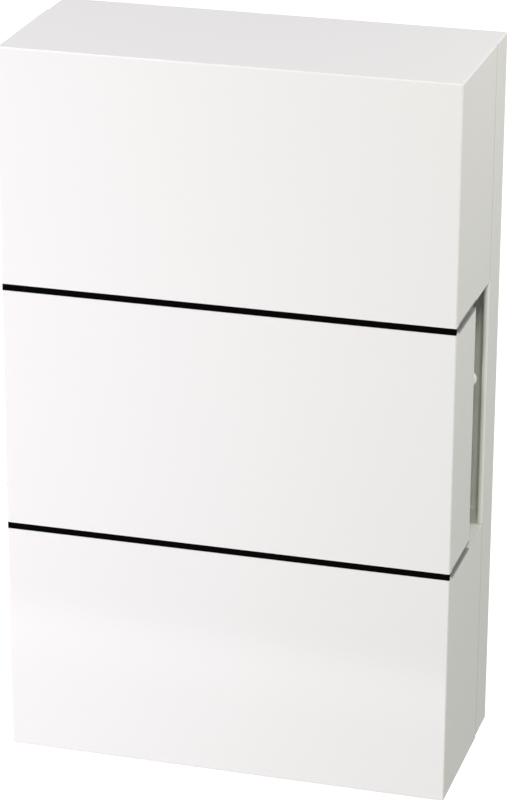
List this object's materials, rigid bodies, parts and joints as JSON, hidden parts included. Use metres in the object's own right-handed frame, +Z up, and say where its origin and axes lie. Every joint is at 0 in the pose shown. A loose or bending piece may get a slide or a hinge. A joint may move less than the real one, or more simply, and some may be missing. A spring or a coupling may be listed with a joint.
{
  "type": "doorbell chime box",
  "caption": "Upright white wall chime box with black lines across its front and notched open sides, holding a solenoid plunger between flat bars.",
  "frame": {"origin": "middle of the back face, where it meets the wall", "axes": "+Y into the wall, so the front faces -Y; +Z up; +X to the right as seen from the front"},
  "size_m": [0.0924, 0.0392, 0.15],
  "materials": {
    "case_white": "moulded white, smooth gloss",
    "strip_black": "black, gloss",
    "bar_steel": "rolled steel, satin, plated",
    "grommet_rubber": "matte black",
    "pin_nylon": "natural white nylon",
    "plated_steel": "zinc plated sheet",
    "screw_steel": "zinc plated",
    "bobbin_plastic": "natural nylon",
    "winding_tape": "amber insulating tape",
    "core_steel": "turned steel",
    "striker_nylon": "natural nylon, smooth",
    "spring_steel": "drawn wire",
    "terminal_plastic": "black moulded",
    "terminal_brass": "pressed sheet",
    "clamp_steel": "plated",
    "lead_sleeve": "red insulation"
  },
  "bodies": {
    "wall_base": {"back_base": "case_white", "ding_bar": "bar_steel", "dong_bar": "bar_steel", "ding_bar_grommets": "grommet_rubber", "dong_bar_grommets": "grommet_rubber", "ding_bar_pins": "pin_nylon", "dong_bar_pins": "pin_nylon", "solenoid_yoke": "plated_steel", "coil_bobbin": "bobbin_plastic", "coil_winding": "winding_tape", "yoke_screws": "screw_steel", "return_spring": "spring_steel", "terminal_block": "terminal_plastic", "terminal_plates": "terminal_brass", "terminal_clamps": "clamp_steel", "terminal_screws": "screw_steel", "block_screw": "screw_steel", "ding_side_lead": "lead_sleeve", "dong_side_lead": "lead_sleeve"},
    "cover": {"front_cover": "case_white", "upper_accent_strip": "strip_black", "lower_accent_strip": "strip_black"},
    "plunger": {"plunger_core": "core_steel", "ding_striker": "striker_nylon", "dong_striker": "striker_nylon"}
  },
  "joints": [
    {"name": "cover_pull", "type": "slide", "parent": "wall_base", "child": "cover", "axis": [0, -1, 0], "range_m": [0, 0.045]},
    {"name": "plunger_slide", "type": "slide", "parent": "wall_base", "child": "plunger", "axis": [1, 0, 0], "range_m": [-0.0017, 0.0077], "stiffness_N_per_m": 30, "deforming": ["return_spring"]}
  ]
}
